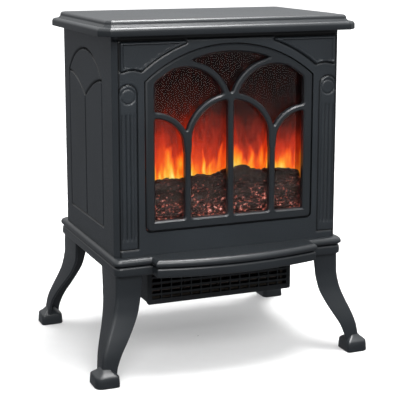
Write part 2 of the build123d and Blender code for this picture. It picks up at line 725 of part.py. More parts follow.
with BuildPart() as spindle_reflectors:
    for index in range(9):
        with BuildSketch(Plane.YZ.offset(-110 + index * 26)):
            with Locations((SPINDLE_Y, SPINDLE_Z)):
                Rectangle(44, 11, rotation=index * 40)
                Circle(5)
                Circle(SHAFT_R, mode=Mode.SUBTRACT)
        extrude(amount=1.0)
        with BuildSketch(Plane.YZ.offset(-109 + index * 26)):
            with Locations((SPINDLE_Y, SPINDLE_Z)):
                Circle(5)
                Circle(SHAFT_R, mode=Mode.SUBTRACT)
        extrude(amount=6)
save(spindle_reflectors, "spindle_reflectors")

save(shaft_block(-139, -122, SPINDLE_Y, SPINDLE_Z, 8, BOX_FLOOR, 6), "spindle_bearing")
save(shaft_block(122, 139, SPINDLE_Y, SPINDLE_Z, 20, BOX_FLOOR, 15), "spindle_motor")
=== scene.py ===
import math

import bmesh
import bpy
import numpy as np
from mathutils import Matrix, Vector, noise


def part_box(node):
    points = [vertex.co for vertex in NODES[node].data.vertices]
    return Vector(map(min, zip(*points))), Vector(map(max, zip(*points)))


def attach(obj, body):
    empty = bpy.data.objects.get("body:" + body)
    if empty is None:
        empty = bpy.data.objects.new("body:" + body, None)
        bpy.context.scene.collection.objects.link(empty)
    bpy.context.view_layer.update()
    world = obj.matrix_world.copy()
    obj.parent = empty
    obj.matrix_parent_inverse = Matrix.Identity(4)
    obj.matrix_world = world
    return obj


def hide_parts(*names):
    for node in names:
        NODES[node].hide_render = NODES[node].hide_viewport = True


bl_info = {
    "name": "Electric stove",
    "version": (1, 0, 0),
    "blender": (4, 5, 0),
    "location": "3D View > Sidebar > Stove",
    "description": "Detailed skins and finishes for a free-standing electric stove",
    "category": "Object",
}

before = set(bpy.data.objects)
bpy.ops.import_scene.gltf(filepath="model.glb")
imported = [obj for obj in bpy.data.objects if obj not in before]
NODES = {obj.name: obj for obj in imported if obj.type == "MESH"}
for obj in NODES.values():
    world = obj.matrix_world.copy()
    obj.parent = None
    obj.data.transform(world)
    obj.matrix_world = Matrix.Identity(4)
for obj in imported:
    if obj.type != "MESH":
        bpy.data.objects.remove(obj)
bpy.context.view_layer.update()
MM = 0.001

# sizes that the skins share with the frame, in millimetres: x to the right, y back, z up
# body, and the cast front before it
BODY_X = 178.5
BODY_FRONT = -118.5
BODY_BACK = 125.0
BODY_Z = 180.6
FASCIA_X = 171.7
FASCIA_Y = -129.4
# top slab
SLAB_X = 201.1
SLAB_FRONT = -144.8
SLAB_BACK = 125.4
SLAB_Z = 498.1
SLAB_CUT = 14.3
HEIGHT = 520.0
# window frame, its opening and its bars; an arch is its centre x, centre z and outer radius
WINDOW_X = 131.7
WINDOW_Y = -130.8
WINDOW_Z = 215.5
WINDOW_CORNER = 9.0
WINDOW_GAP = 1.9
FRAME_DEPTH = 12.0
OPEN_X = 118.5
OPEN_Z = 229.5
ARCH_Z = 282.0
ARCH_OUTER = 200.0
ARCH_INNER = 189.0
BAR = 8.6
MULLION = 8.8
MULLION_X = 67.2
MID_ARCH = (0.0, 339.0, 71.2)
SIDE_ARCH = (120.0, 331.0, 57.0)
FAN_ARCH = (70.8, 387.0, 72.3)
# base moulding with its bowed apron
BASE_X = 184.5
BASE_FRONT = -141.0
BASE_BACK = 153.5
BASE_Z = 154.0
BOW_X = 129.0
BOW_END = -162.0
BOW_FRONT = -180.0
# outer corners of the straight upper legs, about the middle of the base
LEG_X = 179.5
LEG_Y = 140.25
LEG_MID = 8.25


# ---------------- settings a user would change
def length_setting(label, description, default, low, high):
    """A length setting, in metres."""
    return bpy.props.FloatProperty(name=label, description=description, default=default,
                                   min=low, max=high, unit="LENGTH")


def colour_setting(label, description, default):
    """A colour setting."""
    return bpy.props.FloatVectorProperty(name=label, description=description, default=default,
                                         min=0, max=1, size=3, subtype="COLOR")


class StoveSizes(bpy.types.PropertyGroup):
    """Sizes of the surface detail."""

    bar_round: length_setting(
        "Bar rounding", "Rounding of the tracery bars' edges", 0.0021, 0.0005, 0.0035)
    bead_height: length_setting(
        "Bead height", "Height of the beads on the cast front", 0.0027, 0.0, 0.004)
    panel_groove: length_setting(
        "Panel groove", "Depth of the moulding lines on the side panels", 0.0036, 0.0, 0.004)
    relief_pitch: length_setting(
        "Relief pitch", "Distance between the points of a relief surface", 0.0013, 0.0008, 0.004)
    ember_count: bpy.props.IntProperty(
        name="Ember pieces", description="Broken pieces scattered over the ember bed",
        default=430, min=0, max=800)


class StoveColours(bpy.types.PropertyGroup):
    """Colours of the finishes."""

    paint: colour_setting("Paint", "Charcoal casing paint", (0.0215, 0.0265, 0.0315))
    dark: colour_setting("Dark parts", "Grille and small plastic parts", (0.012, 0.014, 0.016))
    bark: colour_setting("Bark", "Charred bark of the log set", (0.015, 0.007, 0.0045))
    # painted glow colour, emitted by the bark for the light under the log set
    ember: colour_setting("Ember", "Glow between the bark plates", (0.60, 0.13, 0.08))


def sizes():
    """The scene's stove sizes."""
    return bpy.context.scene.stove_sizes


def colours():
    """The scene's stove colours."""
    return bpy.context.scene.stove_colours


# ---------------- materials
def blank_material(name):
    """A new node material with its shader; returns the material, its nodes, links and shader."""
    material = bpy.data.materials.new(name)
    material.use_nodes = True
    tree = material.node_tree
    return material, tree.nodes, tree.links, tree.nodes["Principled BSDF"]


def set_inputs(node, values):
    """Sets sockets by name."""
    for name, value in values.items():
        node.inputs[name].default_value = value


def object_noise(nodes, links, scale, detail=3.0, rough=0.5, stretch=(1, 1, 1)):
    """Noise over object coordinates, in features per metre."""
    coords = nodes.new("ShaderNodeTexCoord")
    place = nodes.new("ShaderNodeMapping")
    set_inputs(place, {"Scale": stretch})
    texture = nodes.new("ShaderNodeTexNoise")
    set_inputs(texture, {"Scale": scale, "Detail": detail, "Roughness": rough})
    links.new(coords.outputs["Object"], place.inputs["Vector"])
    links.new(place.outputs["Vector"], texture.inputs["Vector"])
    return texture.outputs["Fac"]


def stored_value(nodes, name):
    """A value kept on the points of the mesh."""
    attribute = nodes.new("ShaderNodeAttribute")
    attribute.attribute_name = name
    return attribute.outputs["Fac"]


def spread(nodes, links, value, low, high, span=(0.3, 0.7)):
    """A value mapped from its span, for noise its usual one, onto low to high."""
    remap = nodes.new("ShaderNodeMapRange")
    set_inputs(remap, {"From Min": span[0], "From Max": span[1], "To Min": low, "To Max": high})
    links.new(value, remap.inputs["Value"])
    return remap.outputs["Result"]


def scaled_sum(nodes, links, value, factor, other):
    """One value times a factor, plus another value."""
    node = nodes.new("ShaderNodeMath")
    node.operation = "MULTIPLY_ADD"
    node.inputs[1].default_value = factor
    links.new(value, node.inputs[0])
    links.new(other, node.inputs[2])
    return node.outputs["Value"]


def ramp(nodes, links, value, stops):
    """A colour ramp through (position, colour) stops."""
    node = nodes.new("ShaderNodeValToRGB")
    elements = node.color_ramp.elements
    while len(elements) < len(stops):
        elements.new(1.0)
    for element, (position, colour) in zip(elements, stops):
        element.position = position
        element.color = (*colour, 1)
    links.new(value, node.inputs["Fac"])
    return node.outputs["Color"]


def raise_grain(nodes, links, shader, height, strength, distance):
    """Bumps the surface by a height value over a distance in metres."""
    bump = nodes.new("ShaderNodeBump")
    set_inputs(bump, {"Strength": strength, "Distance": distance})
    links.new(height, bump.inputs["Height"])
    links.new(bump.outputs["Normal"], shader.inputs["Normal"])


def grainy(name, colour, roughness, grain_scale, grain_depth, metallic=0.0, specular=0.45,
           coat=0.0):
    """Paint, plastic or metal with a fine grain, slow colour drift, uneven gloss and painted shade
    in its grooves.
    """
    material, nodes, links, shader = blank_material(name)
    drift = object_noise(nodes, links, 9.0, 4.0)
    darker = tuple(c * 0.88 for c in colour)
    lighter = tuple(min(1.0, c * 1.12) for c in colour)
    # painted shade: the base colour runs to black by the painted recess shade kept on the mesh
    shade = nodes.new("ShaderNodeMix")
    shade.data_type = "RGBA"
    set_inputs(shade, {"B": (0, 0, 0, 1)})
    links.new(stored_value(nodes, "painted_recess_shade"), shade.inputs["Factor"])
    links.new(ramp(nodes, links, drift, ((0.35, darker), (0.65, lighter))), shade.inputs["A"])
    links.new(shade.outputs["Result"], shader.inputs["Base Color"])
    fine = object_noise(nodes, links, grain_scale, 2.5, 0.6)
    gloss = spread(nodes, links, fine, roughness - 0.07, roughness + 0.07)
    links.new(gloss, shader.inputs["Roughness"])
    raise_grain(nodes, links, shader, fine, 0.5, grain_depth)
    set_inputs(shader, {"Metallic": metallic, "Specular IOR Level": specular,
                        "Coat Weight": coat, "Coat Roughness": 0.3})
    return material


def casing_paint():
    """Satin charcoal powder coat with an orange-peel grain."""
    return grainy("casing_paint", tuple(colours().paint), 0.42, 620.0, 0.0009, coat=0.25)


def moulded_charcoal():
    """Plastic moulding in a deeper charcoal than the casing."""
    shade = tuple(c * 0.66 for c in colours().paint)
    return grainy("moulded_charcoal", shade, 0.4, 480.0, 0.0003, coat=0.45)


def dark_plastic():
    """Near-black moulded parts."""
    return grainy("dark_plastic", tuple(colours().dark), 0.5, 520.0, 0.0002)


# colour, roughness, grains per metre, grain depth, then metallic and specular where not usual
PLAIN_FINISHES = {
    "zinc_plate": ((0.52, 0.53, 0.54), 0.38, 60.0, 0.00004, 1.0),
    "painted_sheet": ((0.02, 0.023, 0.026), 0.45, 500.0, 0.0002),
    "mica_sheet": ((0.10, 0.08, 0.06), 0.55, 150.0, 0.0002),
    "element_wire": ((0.2, 0.16, 0.14), 0.45, 400.0, 0.0002, 1.0),
    "mill_aluminium": ((0.6, 0.61, 0.62), 0.35, 200.0, 0.0001, 1.0),
    "ground_steel": ((0.55, 0.55, 0.57), 0.25, 700.0, 0.00005, 1.0),
    "blackened_steel": ((0.03, 0.03, 0.03), 0.4, 500.0, 0.0001, 0.6),
    "switch_gloss": ((0.012, 0.012, 0.013), 0.2, 200.0, 0.00003),
    "circuit_board": ((0.02, 0.13, 0.05), 0.4, 300.0, 0.0001),
    "firebox_black": ((0.004, 0.004, 0.0045), 0.85, 300.0, 0.0002, 0.0, 0.1),
    "polished_liner": ((0.5, 0.46, 0.45), 0.14, 60.0, 0.00002, 1.0),
    "bright_foil": ((0.8, 0.8, 0.8), 0.12, 90.0, 0.0003, 1.0),
}


def plain_finish(name, *nodes):
    """Gives CAD nodes one of the plain finishes."""
    finish_node(grainy(name, *PLAIN_FINISHES[name]), *nodes)


def clear_glass():
    """Thin tempered pane with smooth faces and a faint uneven tint."""
    material, nodes, links, shader = blank_material("clear_glass")
    tint = ramp(nodes, links, object_noise(nodes, links, 5.0),
                ((0.3, (0.95, 0.94, 0.93)), (0.7, (0.97, 0.96, 0.95))))
    links.new(tint, shader.inputs["Base Color"])
    set_inputs(shader, {"Roughness": 0.0, "Transmission Weight": 1.0, "IOR": 1.16})
    return material


def bark_material():
    """Charred bark with painted glow in its cracks and painted pale glints, standing in for the
    light of the LEDs under the log set.
    """
    material, nodes, links, shader = blank_material("charred_bark")
    bark, ember = tuple(colours().bark), tuple(colours().ember)
    char = tuple(c * 0.2 for c in bark)
    ash = tuple(min(1.0, c * 2.4 + 0.004) for c in bark)
    plates = object_noise(nodes, links, 150.0, 6.0, 0.72, (0.5, 1, 1.6))
    links.new(ramp(nodes, links, plates, ((0.38, char), (0.52, bark), (0.68, ash))),
              shader.inputs["Base Color"])
    raise_grain(nodes, links, shader, plates, 0.9, 0.002)
    cracks = object_noise(nodes, links, 270.0, 3.0, 0.66, (0.7, 1, 1))
    patches = spread(nodes, links, object_noise(nodes, links, 55.0), -0.07, 0.04)
    painted_glint_noise = scaled_sum(nodes, links, cracks, 1.0, patches)
    level = scaled_sum(nodes, links, stored_value(nodes, "painted_underglow"), 0.13, painted_glint_noise)
    # painted light: the emitted ember and glint colours stand for the LED light under the log set
    deep = tuple(c * f for c, f in zip(ember, (0.10, 0.12, 0.2)))
    painted_glint = (1.0, 0.7, 0.62)
    links.new(ramp(nodes, links, level,
                   ((0.60, (0, 0, 0)), (0.68, deep), (0.755, ember), (0.81, painted_glint))),
              shader.inputs["Emission Color"])
    set_inputs(shader, {"Roughness": 0.62, "Specular IOR Level": 0.25, "Emission Strength": 1.0})
    return material


def flame_material():
    """Flames projected on the translucent screen, coloured by their heat."""
    material, nodes, links, shader = blank_material("flame_picture")
    flicker = object_noise(nodes, links, 120.0, 4.0, 0.6, (1.6, 1, 0.5))
    heat = scaled_sum(nodes, links, stored_value(nodes, "fire_level"), 1.04,
                      spread(nodes, links, flicker, -0.075, 0.06))
    stops = ((0.0, (0.004, 0.002, 0.002)), (0.14, (0.035, 0.006, 0.004)),
             (0.28, (0.20, 0.012, 0.005)), (0.42, (0.58, 0.028, 0.006)),
             (0.56, (0.92, 0.085, 0.008)), (0.70, (1.0, 0.22, 0.012)),
             (0.84, (1.0, 0.48, 0.03)), (1.0, (1.0, 0.85, 0.25)))
    links.new(ramp(nodes, links, heat, stops), shader.inputs["Emission Color"])
    set_inputs(shader, {"Base Color": (0.002, 0.001, 0.001, 1), "Roughness": 0.9,
                        "Specular IOR Level": 0.0, "Emission Strength": 1.0})
    return material


def studio_paper():
    """Plain pale studio paper with painted light that brightens it away from the stove."""
    material, nodes, links, shader = blank_material("studio_paper")
    fibre = object_noise(nodes, links, 40.0)
    links.new(ramp(nodes, links, fibre, ((0.3, (0.81, 0.81, 0.81)), (0.7, (0.83, 0.83, 0.83)))),
              shader.inputs["Base Color"])
    # painted light: the paper's glow rises from near the stove out to five metres
    coords = nodes.new("ShaderNodeTexCoord")
    away = nodes.new("ShaderNodeVectorMath")
    away.operation = "LENGTH"
    links.new(coords.outputs["Object"], away.inputs[0])
    links.new(spread(nodes, links, away.outputs["Value"], 0.13, 1.0, (0.7, 5.0)),
              shader.inputs["Emission Strength"])
    set_inputs(shader, {"Roughness": 0.8, "Specular IOR Level": 0.1,
                        "Emission Color": (1, 1, 1, 1)})
    return material


def studio_wall():
    """Evenly lit white wall round the studio."""
    material, _, _, shader = blank_material("studio_wall")
    set_inputs(shader, {"Base Color": (0.5, 0.5, 0.5, 1), "Emission Color": (1, 1, 1, 1),
                        "Emission Strength": 0.97})
    return material


# ---------------- mesh tools (millimetres in)
def add_object(name, data):
    """A new object in the scene."""
    item = bpy.data.objects.new(name, data)
    bpy.context.scene.collection.objects.link(item)
    return item


def new_piece(name, parts, material, replaces, body="stove", sharp=35.0):
    """One object from (vertices, faces) parts, riding on a body and standing for CAD nodes."""
    verts, faces = [], []
    for part_verts, part_faces in parts:
        start = len(verts)
        verts.extend(part_verts)
        faces.extend(tuple(start + i for i in face) for face in part_faces)
    data = bpy.data.meshes.new(name)
    data.from_pydata([(x * MM, y * MM, z * MM) for x, y, z in verts], [], faces)
    work = bmesh.new()
    work.from_mesh(data)
    bmesh.ops.remove_doubles(work, verts=work.verts, dist=2e-6)
    bmesh.ops.recalc_face_normals(work, faces=work.faces)
    work.to_mesh(data)
    work.free()
    data.shade_smooth()
    data.set_sharp_from_angle(angle=math.radians(sharp))
    data.materials.append(material)
    piece = add_object(name, data)
    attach(piece, body)
    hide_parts(*replaces)
    return piece


def store_value(piece, name, value_of):
    """Keeps a value from 0 to 1 on each point, from its place in millimetres."""
    points = np.array([vertex.co[:] for vertex in piece.data.vertices]) / MM
    values = np.clip(value_of(*points.T), 0, 1)
    piece.data.attributes.new(name, "FLOAT", "POINT").data.foreach_set("value", values)


def painted_shade_by_depth(depth):
    """How much painted shade darkens a groove of some depth in millimetres."""
    return (depth - 0.35) / 1.2


def finish_node(material, *names):
    """CAD nodes that stay get their finish."""
    for name in names:
        for slot in NODES[name].material_slots:
            slot.material = material


def soften_node(name, width):
    """A small modelled bevel on a CAD node's sharp edges."""
    bevel = NODES[name].modifiers.new("edge", "BEVEL")
    bevel.width = width * MM
    bevel.segments = 2
    bevel.limit_method = "ANGLE"
    bevel.angle_limit = math.radians(50)


def skin(rings, caps=True):
    """Faces through closed rings of equal length, with flat ends."""
    count = len(rings[0])
    verts = [point for ring in rings for point in ring]
    faces = []
    for r in range(len(rings) - 1):
        for i in range(count):
            j = (i + 1) % count
            faces.append((r * count + i, r * count + j, (r + 1) * count + j, (r + 1) * count + i))
    if caps:
        faces.append(tuple(range(count)))
        faces.append(tuple(range((len(rings) - 1) * count, len(rings) * count)))
    return verts, faces


def arc(cx, cy, radius, start, end, steps):
    """Points along an arc, angles in degrees."""
    angles = np.radians(np.linspace(start, end, steps + 1))
    return [(cx + radius * math.cos(a), cy + radius * math.sin(a)) for a in angles]


def inset_loop(points, distance):
    """A counter-clockwise loop moved inwards with mitred corners."""
    moved = []
    count = len(points)
    for i, point in enumerate(points):
        before, after = Vector(points[i - 1]), Vector(points[(i + 1) % count])
        here = Vector(point)
        first, second = (here - before).normalized(), (after - here).normalized()
        normal = Vector((-first.y - second.y, first.x + second.x)).normalized()
        reach = normal.dot(Vector((-first.y, first.x)))
        moved.append(tuple(here + normal * distance / max(reach, 0.3)))
    return moved


def round_loop(points, radii, steps=4):
    """A closed loop with its corners replaced by arcs; gentle turns are left alone."""
    rounded = []
    count = len(points)
    for i, point in enumerate(points):
        here = Vector(point)
        back, ahead = Vector(points[i - 1]) - here, Vector(points[(i + 1) % count]) - here
        radius = radii[i] if isinstance(radii, (list, tuple)) else radii
        turn = math.pi - back.angle(ahead)
        if radius <= 0 or turn < 0.3:
            rounded.append(tuple(here))
            continue
        reach = min(radius * math.tan(turn / 2), back.length * 0.45, ahead.length * 0.45)
        start, end = here + back.normalized() * reach, here + ahead.normalized() * reach
        for k in range(steps + 1):
            t = k / steps
            blend = start * (1 - t) ** 2 + here * 2 * t * (1 - t) + end * t ** 2
            rounded.append(tuple(blend))
    return rounded


def moulding(loop, profile, corner=2.0, steps=4):
    """A solid whose edge follows a profile of (inset, height) all round a loop."""
    rings = []
    for inset, height in profile:
        ring = round_loop(inset_loop(loop, inset), corner, steps)
        rings.append([(x, y, height) for x, y in ring])
    return skin(rings)


def block(x0, x1, y0, y1, z0, z1, corner=1.0):
    """A block with softened edges."""
    loop = [(x0, y0), (x1, y0), (x1, y1), (x0, y1)]
    edge = min(corner, (z1 - z0) / 2.2)
    profile = [(edge, z0), (0, z0 + edge), (0, z1 - edge), (edge, z1)]
    return moulding(loop, profile, corner * 1.5, 2)


def path_distance(u, v, path):
    """Distance from every point of a grid to a polyline."""
    best = np.full(u.shape, 1e9)
    for (x0, y0), (x1, y1) in zip(path[:-1], path[1:]):
        dx, dy = x1 - x0, y1 - y0
        length = max(dx * dx + dy * dy, 1e-9)
        t = np.clip(((u - x0) * dx + (v - y0) * dy) / length, 0, 1)
        best = np.minimum(best, np.hypot(u - x0 - t * dx, v - y0 - t * dy))
    return best


def bead(distance, half_width):
    """Half-round cross-section of height 1, by distance from its centre line."""
    return np.sqrt(np.clip(1 - (distance / half_width) ** 2, 0, 1))


def groove(distance, half_width):
    """Soft cross-section of depth 1, by distance from its centre line."""
    return np.exp(-(distance / half_width) ** 2)


def relief_sheet(u_range, v_range, height, place, thickness, hole=None):
    """A pressed or cast sheet over a u, v grid with a modelled relief and an optional hole.

    height(u, v) is the relief, place(u, v, h) the point in space, and hole a closed polyline."""
    pitch = sizes().relief_pitch / MM
    us = np.linspace(*u_range, int((u_range[1] - u_range[0]) / pitch) + 1)
    vs = np.linspace(*v_range, int((v_range[1] - v_range[0]) / pitch) + 1)
    u, v = np.meshgrid(us, vs)
    keep = np.ones((len(vs) - 1, len(us) - 1), bool)
    if hole is not None:
        keep = ~inside_loop((u[:-1, :-1] + u[1:, 1:]) / 2, (v[:-1, :-1] + v[1:, 1:]) / 2, hole)
        u, v = snap_to_hole(u, v, keep, hole)
    back = place(u, v, np.full(u.shape, -thickness))
    return grid_solid(place(u, v, height(u, v)), back, keep)


def inside_loop(u, v, loop):
    """Which grid points lie inside a closed polyline."""
    inside = np.zeros(u.shape, bool)
    for (x0, y0), (x1, y1) in zip(loop, loop[1:] + loop[:1]):
        crosses = (y0 > v) != (y1 > v)
        at = x0 + (v - y0) * (x1 - x0) / (y1 - y0 if y1 != y0 else 1e-9)
        inside ^= crosses & (u < at)
    return inside


def snap_to_hole(u, v, keep, loop):
    """Moves the grid points on the rim of the hole onto its outline."""
    touch_kept, touch_cut = np.zeros(u.shape, bool), np.zeros(u.shape, bool)
    for dy in (0, 1):
        for dx in (0, 1):
            rows = slice(dy, dy + keep.shape[0])
            cols = slice(dx, dx + keep.shape[1])
            touch_kept[rows, cols] |= keep
            touch_cut[rows, cols] |= ~keep
    closed = loop + loop[:1]
    for i, j in zip(*np.nonzero(touch_kept & touch_cut)):
        point = Vector((u[i, j], v[i, j]))
        best = None
        for a, b in zip(closed[:-1], closed[1:]):
            start, along = Vector(a), Vector(b) - Vector(a)
            t = min(1.0, max(0.0, (point - start).dot(along) / max(along.length_squared, 1e-9)))
            near = start + along * t
            if best is None or (near - point).length < (best - point).length:
                best = near
        u[i, j], v[i, j] = best
    return u, v


def grid_solid(front, back, keep):
    """A closed solid from the front and back points of a grid, for its kept cells."""
    rows, cols = front.shape[:2]
    verts = np.concatenate([front.reshape(-1, 3), back.reshape(-1, 3)])
    offset = rows * cols
    faces = []
    for i, j in zip(*np.nonzero(keep)):
        a = i * cols + j
        quad = (a, a + 1, a + cols + 1, a + cols)
        faces.append(quad)
        faces.append(tuple(offset + k for k in reversed(quad)))
        for di, dj, p, q in ((-1, 0, 0, 1), (0, 1, 1, 2), (1, 0, 2, 3), (0, -1, 3, 0)):
            ni, nj = i + di, j + dj
            if not (0 <= ni < rows - 1 and 0 <= nj < cols - 1 and keep[ni, nj]):
                faces.append((quad[q], quad[p], offset + quad[p], offset + quad[q]))
    used = sorted({k for face in faces for k in face})
    index = {k: n for n, k in enumerate(used)}
    return [tuple(verts[k]) for k in used], [tuple(index[k] for k in face) for face in faces]


# ---------------- slab, sides and front
TIER_Z = 510.6
LOWER_ROUND = 5.6
UPPER_ROUND = 5.0


class StoveSlab(bpy.types.Operator):
    """Two-tier top slab with cut corners and rounded edges"""

    bl_idname = "stove.slab"
    bl_label = "Top slab"

    def execute(self, context):
        cut = SLAB_CUT
        loop = [(-SLAB_X + cut, SLAB_FRONT), (SLAB_X - cut, SLAB_FRONT),
                (SLAB_X, SLAB_FRONT + cut), (SLAB_X, SLAB_BACK - cut),
                (SLAB_X - cut, SLAB_BACK), (-SLAB_X + cut, SLAB_BACK),
                (-SLAB_X, SLAB_BACK - cut), (-SLAB_X, SLAB_FRONT + cut)]
        # (inset, height) from the underside, round the lower and then the upper tier
        profile = [(16, SLAB_Z), (1.2, SLAB_Z), (0.3, SLAB_Z + 0.4), (0, SLAB_Z + 1.2)]
        profile += arc(LOWER_ROUND, TIER_Z - LOWER_ROUND, LOWER_ROUND, 180, 95, 7)
        profile += [(7.2, TIER_Z - 0.2), (8.2, TIER_Z - 1), (8.8, TIER_Z + 0.2),
                    (11.6, TIER_Z + 2.8), (12.0, TIER_Z + 3.8)]
        profile += arc(17.0, HEIGHT - UPPER_ROUND, UPPER_ROUND, 175, 90, 6)
        new_piece("slab", [moulding(loop, profile, 2.5)], moulded_charcoal(),
                  ("top_cover",))
        return {"FINISHED"}


SIDE_FACE = BODY_X - 0.1
SIDE_WALL = 4.6
FLANGE_X = 160.0
PANEL_BOTTOM = 214.0
PANEL_FRONT = -71.0
PANEL_REAR = 97.0
PANEL_SPRING = 430.0
PANEL_RISE = 40.0
FORK_Z = 399.0


def circle_through(x0, x1, rise):
    """Radius of an arc over a chord from x0 to x1 with the given rise."""
    half = (x1 - x0) / 2
    return (half * half + rise * rise) / (2 * rise)


def panel_paths():
    """Centre lines of the side panel's moulding, as polylines in y and z."""
    middle = (PANEL_FRONT + PANEL_REAR) / 2
    radius = circle_through(PANEL_FRONT, PANEL_REAR, PANEL_RISE)
    centre_z = PANEL_SPRING + PANEL_RISE - radius
    across = np.linspace(PANEL_REAR, PANEL_FRONT, 41)
    arch = [(y, centre_z + math.sqrt(radius ** 2 - (y - middle) ** 2)) for y in across]
    border = [(PANEL_FRONT, PANEL_SPRING), (PANEL_FRONT, PANEL_BOTTOM),
              (PANEL_REAR, PANEL_BOTTOM), (PANEL_REAR, PANEL_SPRING)] + arch
    rise = PANEL_SPRING - FORK_Z
    forks = []
    for end in (PANEL_FRONT, PANEL_REAR):
        reach = end - middle
        forks.append([(middle + reach * t, FORK_Z + rise * (1 - (1 - t) ** 1.9))
                      for t in np.linspace(0, 1, 25)])
    return [border, [(middle, PANEL_BOTTOM), (middle, FORK_Z)]] + forks


def side_relief(y, z):
    """Rounded grooves along the moulding lines."""
    distance = np.minimum.reduce([path_distance(y, z, path) for path in panel_paths()])
    return -sizes().panel_groove / MM * groove(distance, 1.25)


class StoveSides(bpy.types.Operator):
    """Pressed side panels with their arched and forked moulding"""

    bl_idname = "stove.sides"
    bl_label = "Side panels"

    def execute(self, context):
        paint = casing_paint()
        for sign, name in ((-1, "left"), (1, "right")):
            def place(y, z, h, sign=sign):
                return np.stack([sign * (SIDE_FACE + h), y, z], -1)

            plate = relief_sheet((BODY_FRONT, BODY_BACK), (BODY_Z, SLAB_Z), side_relief, place,
                                 SIDE_WALL)
            inner = sorted((sign * (BODY_X - 4.5), sign * FLANGE_X))
            flanges = [block(*inner, y, y + 1.8, BODY_Z, SLAB_Z, 0.6)
                       for y in (BODY_FRONT + 0.2, BODY_BACK - 3.6)]
            panel = new_piece(f"side_{name}", [plate] + flanges, paint,
                              (f"{name}_side_panel",))
            # painted shade in the pressed grooves, deeper ones darker; the flanges behind turn
            # black
            store_value(panel, "painted_recess_shade", lambda x, y, z: painted_shade_by_depth(SIDE_FACE - np.abs(x)))
        return {"FINISHED"}


FRONT_WALL = 4.0
SHIELD_Y = (-125.4, -124.4)
SHIELD_REACH = 6.0
CORNER_R = 217.0
FIELD_EDGE = 166.5
FIELD_TOP = 487.0
FIELD_LOW_X = 137.5
PILASTER_X = 158.0
PILASTER_R = 13.6
PILASTER_SPRING = 416.0
PILASTER_FOOT = 191.0
FLUTE_PITCH = 6.3
FLUTE_SPAN = 10.6
FLUTE_FOOT = 203.0
FLUTE_TOP = 389.0
ROSETTE = (157.8, 413.0, 10.6)
TOP_GROOVE_Z = 493.5


def window_loop(grow=0.0, steps=48):
    """Outline of the window frame, grown all round: sill, sides and a segmental arch."""
    half, bottom, radius = WINDOW_X + grow, WINDOW_Z - grow, ARCH_OUTER + grow
    spring = math.degrees(math.asin(half / radius))
    arch = arc(0, ARCH_Z, radius, 90 - spring, 90 + spring, steps)
    side_top = ARCH_Z + 118
    lower = round_loop([(-half, side_top), (-half, bottom), (half, bottom), (half, side_top)],
                       [0, WINDOW_CORNER, WINDOW_CORNER, 0], 6)
    return lower[1:-1] + arch


def field_path():
    """Bead round the raised field between the window arch and the slab, on the right."""
    start = math.degrees(math.asin((FIELD_TOP - ARCH_Z) / CORNER_R))
    end = math.degrees(math.acos(FIELD_LOW_X / CORNER_R))
    round_arch = arc(0, ARCH_Z, CORNER_R, start, end, 24)
    low = round_arch[-1][1]
    foot = [(FIELD_LOW_X + (FIELD_EDGE - FIELD_LOW_X) * t, low + 2.8 * math.sin(math.pi * t))
            for t in np.linspace(0, 1, 12)]
    return round_arch + foot + [(FIELD_EDGE, FIELD_TOP), round_arch[0]]


def front_relief(u, z):
    """Beads, fluted pilasters and rosettes of the cast front."""
    x = np.abs(u)
    lift = sizes().bead_height / MM
    field = path_distance(x, z, field_path())
    raised = inside_loop(x, z, field_path()[:-1])
    outside = np.where(raised, -field, field)
    relief = lift * bead(field, 2.1) - 1.5 * groove(outside - 3.0, 1.0) + 0.35 * raised
    # pilaster, raised within its own groove
    top = arc(PILASTER_X, PILASTER_SPRING, PILASTER_R, 180, 0, 20)
    pilaster = [(PILASTER_X - PILASTER_R, PILASTER_FOOT)] + top
    pilaster += [(PILASTER_X + PILASTER_R, PILASTER_FOOT)]
    edge = path_distance(x, z, pilaster + pilaster[:1])
    relief += np.where(inside_loop(x, z, pilaster), 0.9 * np.clip(edge / 1.6, 0, 1), 0)
    relief -= 1.7 * groove(edge, 1.15)
    # flutes, fading out at their ends and beside the pilaster's edges
    flute = np.abs((x - PILASTER_X + 2 * FLUTE_PITCH) % FLUTE_PITCH - FLUTE_PITCH / 2)
    length = np.clip((FLUTE_TOP - z) / 5, 0, 1) * np.clip((z - FLUTE_FOOT) / 5, 0, 1)
    span = np.clip((FLUTE_SPAN - np.abs(x - PILASTER_X)) / 1.2, 0, 1)
    relief -= 1.7 * groove(flute, 1.2) * length * span
    # ring of the rosette, and the grooves along the front's top and side edges
    rosette = np.hypot(x - ROSETTE[0], z - ROSETTE[1])
    relief -= 1.3 * groove(rosette - ROSETTE[2], 1.0)
    relief -= 2.6 * groove(z - TOP_GROOVE_Z, 3.0)
    relief -= 2.0 * groove(x - FASCIA_X + 0.6, 1.1)
    return np.maximum(relief, 0.8 - FRONT_WALL)


